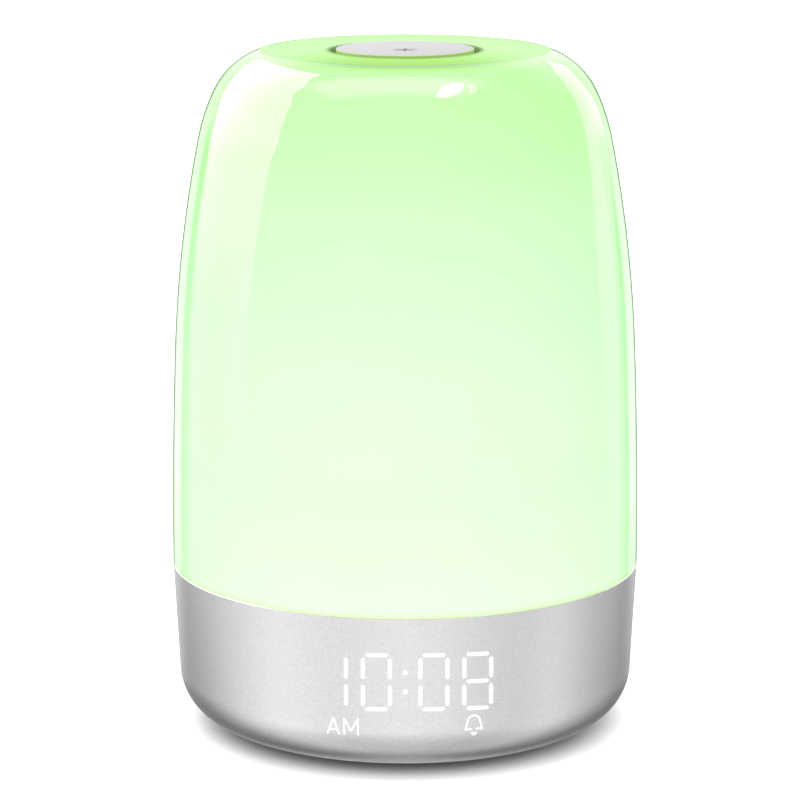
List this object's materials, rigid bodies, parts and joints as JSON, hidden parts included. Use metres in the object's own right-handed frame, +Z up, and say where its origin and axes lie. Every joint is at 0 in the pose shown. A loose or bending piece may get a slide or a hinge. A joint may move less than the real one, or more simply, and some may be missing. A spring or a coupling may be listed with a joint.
{
  "type": "sunrise alarm clock",
  "caption": "Small bedside sunrise lamp and clock: a glossy translucent dome with a round top button on a silver base with a light-through digital display.",
  "frame": {"origin": "on the table, under the middle of the body", "axes": "+Z up through the dome; the display faces -Y; +X is to the right of someone who reads the display"},
  "size_m": [0.1, 0.1, 0.145],
  "materials": {
    "silver_shell": "fine metallic silver lacquer over plastic, satin",
    "dome": "translucent opal plastic, polished",
    "button_metal": "satin",
    "spring_steel": "plain",
    "black_plastic": "matt",
    "white_plastic": "matt",
    "white_board": "white solder resist",
    "green_board": "green solder resist",
    "clear_tube": "frosted clear",
    "led_chip": "phosphor",
    "mask_film": "printed film",
    "can_metal": "can",
    "ribbon": "flat cable",
    "socket_metal": "plated",
    "speaker_steel": "black",
    "coil_copper": "enamelled wire",
    "cone_paper": "pressed paper",
    "soft_rubber": "thin roll",
    "foam": "closed-cell foam",
    "pouch": "foil pouch",
    "cover_plastic": "fine texture",
    "foot_rubber": "matt",
    "screw_steel": "plated",
    "wire_jacket": "jacket",
    "key_plastic": "satin silver"
  },
  "bodies": {
    "housing": {"base_shell": "silver_shell", "battery_cell": "pouch", "battery_lead": "wire_jacket", "battery_pad": "foam", "bottom_cover": "cover_plastic", "bottom_screws": "screw_steel", "diffuser_dome": "dome", "display_board": "green_board", "display_film": "mask_film", "display_leds": "led_chip", "display_reflector": "black_plastic", "display_ribbon": "ribbon", "display_screws": "screw_steel", "dome_screws": "screw_steel", "feet": "foot_rubber", "key_board": "green_board", "key_board_screws": "screw_steel", "key_ribbon": "ribbon", "key_switches": "black_plastic", "led_board": "white_board", "led_board_screws": "screw_steel", "led_deck": "white_plastic", "led_emitters": "led_chip", "led_lead": "wire_jacket", "main_board": "green_board", "main_board_capacitors": "can_metal", "main_board_chips": "black_plastic", "main_board_connectors": "white_plastic", "main_board_screws": "screw_steel", "speaker_frame": "speaker_steel", "speaker_gasket": "foam", "speaker_lead": "wire_jacket", "speaker_magnet": "speaker_steel", "speaker_plate": "speaker_steel", "speaker_pot": "speaker_steel", "speaker_screws": "screw_steel", "switch_column": "clear_tube", "top_board": "white_board", "top_board_screws": "screw_steel", "top_lead": "wire_jacket", "top_switch": "black_plastic", "usb_socket": "socket_metal"},
    "light_button": {"light_button": "button_metal", "button_clip": "spring_steel", "top_switch_plunger": "white_plastic"},
    "speaker_cone": {"speaker_cone": "cone_paper", "speaker_dust_cap": "cone_paper", "speaker_coil": "coil_copper", "speaker_surround": "soft_rubber"},
    "alarm_key": {"alarm_key": "key_plastic", "alarm_key_plunger": "white_plastic"},
    "time_key": {"time_key": "key_plastic", "time_key_plunger": "white_plastic"},
    "minus_key": {"minus_key": "key_plastic", "minus_key_plunger": "white_plastic"},
    "plus_key": {"plus_key": "key_plastic", "plus_key_plunger": "white_plastic"},
    "sound_key": {"sound_key": "key_plastic", "sound_key_plunger": "white_plastic"}
  },
  "joints": [
    {"name": "light_button_press", "type": "slide", "parent": "housing", "child": "light_button", "axis": [0, 0, -1], "range_m": [0, 0.0006], "stiffness_N_per_m": 1500, "springref_m": -0.0003},
    {"name": "speaker_cone_stroke", "type": "slide", "parent": "housing", "child": "speaker_cone", "axis": [0, 0, 1], "range_m": [-0.0004, 0.0004], "stiffness_N_per_m": 400, "deforming": ["speaker_surround"]},
    {"name": "alarm_key_press", "type": "slide", "parent": "housing", "child": "alarm_key", "axis": [0, -1, 0], "range_m": [0, 0.00035], "stiffness_N_per_m": 1500, "springref_m": -0.0003},
    {"name": "time_key_press", "type": "slide", "parent": "housing", "child": "time_key", "axis": [0, -1, 0], "range_m": [0, 0.00035], "stiffness_N_per_m": 1500, "springref_m": -0.0003},
    {"name": "minus_key_press", "type": "slide", "parent": "housing", "child": "minus_key", "axis": [0, -1, 0], "range_m": [0, 0.00035], "stiffness_N_per_m": 1500, "springref_m": -0.0003},
    {"name": "plus_key_press", "type": "slide", "parent": "housing", "child": "plus_key", "axis": [0, -1, 0], "range_m": [0, 0.00035], "stiffness_N_per_m": 1500, "springref_m": -0.0003},
    {"name": "sound_key_press", "type": "slide", "parent": "housing", "child": "sound_key", "axis": [0, -1, 0], "range_m": [0, 0.00035], "stiffness_N_per_m": 1500, "springref_m": -0.0003}
  ]
}
